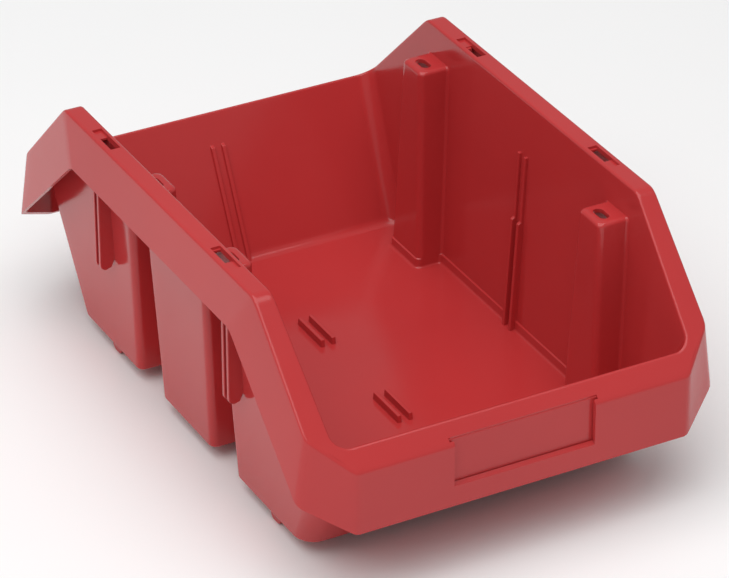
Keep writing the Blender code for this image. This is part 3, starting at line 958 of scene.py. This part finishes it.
def raised(tree, height, distance, strength, under=None):
    """A bump from a height pattern, in metres, over another bump if one is given."""
    node = tree.nodes.new("ShaderNodeBump")
    node.inputs["Distance"].default_value = distance
    node.inputs["Strength"].default_value = strength
    tree.links.new(height, node.inputs["Height"])
    if under is not None:
        tree.links.new(under, node.inputs["Normal"])
    return node.outputs["Normal"]


HAZE_ROUGHNESS = 0.09
SCUFF_ROUGHNESS = 0.05


def red_polypropylene(name, light, dark, gloss):
    """Glossy moulded plastic: pigment drift, flow waves, fine grain, and handling scuffs in its gloss."""
    material = bpy.data.materials.new(name)
    material.use_nodes = True
    tree = material.node_tree
    shader = tree.nodes["Principled BSDF"]
    where = tree.nodes.new("ShaderNodeTexCoord").outputs["Object"]

    drift = noise(tree, where, scale=9.0, detail=4.0)
    colours = tree.nodes.new("ShaderNodeMix")
    colours.data_type = "RGBA"
    colours.inputs["A"].default_value = (*dark, 1.0)
    colours.inputs["B"].default_value = (*light, 1.0)
    tree.links.new(spread(tree, drift, (0.3, 0.7), (0.0, 1.0)), colours.inputs["Factor"])
    tree.links.new(colours.outputs["Result"], shader.inputs["Base Color"])

    grain = noise(tree, where, scale=2600.0, detail=2.0)
    haze = noise(tree, where, scale=42.0, detail=6.0, roughness=0.6)
    scuffs = noise(tree, where, scale=34.0, detail=5.0, roughness=0.6, stretch=(1.0, 9.0, 4.0))
    scuffs = spread(tree, scuffs, (0.56, 0.8), (0.0, SCUFF_ROUGHNESS))
    rough = added(tree, spread(tree, haze, (0.35, 0.7), (gloss, gloss + HAZE_ROUGHNESS)), scuffs)
    tree.links.new(rough, shader.inputs["Roughness"])

    waves = noise(tree, where, scale=26.0, detail=2.0, roughness=0.4)
    moulded = raised(tree, waves, distance=0.0006, strength=0.35)
    moulded = raised(tree, grain, distance=0.00002, strength=0.35, under=moulded)
    tree.links.new(moulded, shader.inputs["Normal"])
    shader.inputs["IOR"].default_value = 1.49
    shader.inputs["Specular IOR Level"].default_value = 0.38
    shader.inputs["Subsurface Weight"].default_value = 0.06
    shader.inputs["Subsurface Radius"].default_value = (0.004, 0.0006, 0.0005)
    shader.inputs["Subsurface Scale"].default_value = 0.6
    return material


SWEEP_HALF = 3.0  # metres, as are the other sizes of the studio
SWEEP_LINES = 41
SWEEP_WAVE = 0.00002
SWEEP_TURNS = (2.1, 1.7)  # radians of wave for each metre along X and Y
SWEEP_WHITE = 0.94


def studio_floor():
    """A wide sheet just under the feet, with long waves of a few hundredths of a millimetre."""
    across = np.linspace(-SWEEP_HALF, SWEEP_HALF, SWEEP_LINES)
    x, y = np.meshgrid(across, across, indexing="ij")
    z = -SWEEP_WAVE * (np.cos(SWEEP_TURNS[0] * x) * np.cos(SWEEP_TURNS[1] * y) + 1)
    number = np.arange(x.size).reshape(x.shape)
    faces = np.stack([number[:-1, :-1], number[1:, :-1], number[1:, 1:], number[:-1, 1:]], axis=-1)
    mesh = bpy.data.meshes.new("studio_floor")
    mesh.from_pydata(np.stack([x, y, z], axis=-1).reshape(-1, 3).tolist(), [], faces.reshape(-1, 4).tolist())
    mesh.shade_smooth()
    item = bpy.data.objects.new("studio_floor", mesh)
    bpy.context.collection.objects.link(item)
    material = bpy.data.materials.new("white_sweep")
    material.use_nodes = True
    tree = material.node_tree
    shader = tree.nodes["Principled BSDF"]
    where = tree.nodes.new("ShaderNodeTexCoord").outputs["Object"]
    shader.inputs["Base Color"].default_value = (SWEEP_WHITE, SWEEP_WHITE, SWEEP_WHITE, 1.0)
    rough = spread(tree, noise(tree, where, scale=6.0), (0.3, 0.7), (0.55, 0.65))
    tree.links.new(rough, shader.inputs["Roughness"])
    mesh.materials.append(material)


WORLD_LIGHT = 0.38
LIGHT_AIM = (0.0, 0.0, 0.06)
# Name, place, size and watts of each area light.
PANELS = (
    ("overhead_panel", (-0.45, -0.35, 1.9), (2.4, 2.4), 41.5),
    ("left_panel", (-1.6, -0.3, 0.6), (1.2, 0.9), 0.8),
)


def studio_light():
    """White surroundings, a broad light overhead and a weak soft panel beside the left wall."""
    world = bpy.data.worlds.new("white_room")
    world.use_nodes = True
    world.node_tree.nodes["Background"].inputs["Color"].default_value = (1.0, 1.0, 1.0, 1.0)
    world.node_tree.nodes["Background"].inputs["Strength"].default_value = WORLD_LIGHT
    bpy.context.scene.world = world
    for name, place, size, power in PANELS:
        data = bpy.data.lights.new(name, "AREA")
        data.shape = "RECTANGLE"
        data.size, data.size_y = size
        data.energy = power
        lamp = bpy.data.objects.new(name, data)
        lamp.location = place
        aim = Vector(LIGHT_AIM) - Vector(place)
        lamp.rotation_euler = aim.to_track_quat("-Z", "Y").to_euler()
        bpy.context.collection.objects.link(lamp)
    bpy.context.scene.view_settings.view_transform = "Standard"


LENS = 204.7  # millimetres
CAMERA_PLACE = (-0.7847, -1.4668, 1.0378)  # metres, above the underside of the bin's floor
CAMERA_TURN = 28.33  # degrees from the bin's length, towards its right
CAMERA_DROP = 30.78  # degrees below level


def camera():
    """A long lens above the left front corner, upright."""
    data = bpy.data.cameras.new("camera")
    data.lens = LENS
    data.sensor_width = 36.0
    data.shift_x = -0.0014
    data.shift_y = 0.0012
    data.clip_end = 20.0
    item = bpy.data.objects.new("camera", data)
    x, y, above_floor = CAMERA_PLACE
    item.location = (x, y, above_floor + foot_height)
    turn = math.radians(CAMERA_TURN)
    drop = math.radians(CAMERA_DROP)
    aim = Vector((math.sin(turn) * math.cos(drop), math.cos(turn) * math.cos(drop), -math.sin(drop)))
    item.rotation_euler = aim.to_track_quat("-Z", "Y").to_euler()
    bpy.context.collection.objects.link(item)
    bpy.context.scene.camera = item


LIGHT_RED = (0.50, 0.038, 0.039)
DARK_RED = (0.46, 0.034, 0.036)
GLOSS = 0.12  # least roughness
SIDES = (("left", -1), ("right", 1))
ENDS = (("front", -1), ("rear", 1))


def assemble(item, material, *nodes):
    """Gives a piece its material, hides the nodes that it stands for and attaches it to the root body."""
    item.data.materials.append(material)
    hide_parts(*nodes)
    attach(item, "root")


def build_bin():
    """The sheet and every piece on it."""
    plastic = red_polypropylene("red_polypropylene", LIGHT_RED, DARK_RED, GLOSS)
    shell_nodes = ["floor_panel"]
    shell_nodes += [f"{side}_side_wall" for side, _ in SIDES]
    shell_nodes += [f"{end}_end_wall" for end, _ in ENDS]
    shell_nodes += [f"{where}_rim" for where, _ in SIDES + ENDS]
    shell_nodes += [f"{side}_{end}_pillar" for side, _ in SIDES for end, _ in ENDS]
    assemble(bin_shell(), plastic, *shell_nodes)
    assemble(bar("window_plate", *label_plate()), plastic, "label_plate")
    for side_name, side in SIDES:
        opposite = PILLAR_Y["right" if side_name == "left" else "left"]
        for end_name, end in ENDS:
            corner = f"{side_name}_{end_name}"
            assemble(bar(f"{corner}_tongue", *foot(side, end * opposite)), plastic, f"{corner}_foot")
            for number in (1, 2):
                fin = bar(f"{corner}_bracket_{number}", *bracket_fin(side, end, number))
                assemble(fin, plastic, f"{corner}_fin_{number}")
    for number in (1, 2):
        for end_name, end in ENDS:
            rib = bar(f"{end_name}_floor_guide_{number}", *floor_rib(end, number))
            assemble(rib, plastic, f"{end_name}_floor_rib_{number}")
            rib = bar(f"{end_name}_guide_{number}", *end_rib(end, number))
            assemble(rib, plastic, f"{end_name}_wall_rib_{number}")
        for side_name, side in SIDES:
            rib = bar(f"{side_name}_guide_{number}", *side_rib(side, number))
            assemble(rib, plastic, f"{side_name}_wall_rib_{number}")


build_bin()
studio_floor()
studio_light()
camera()
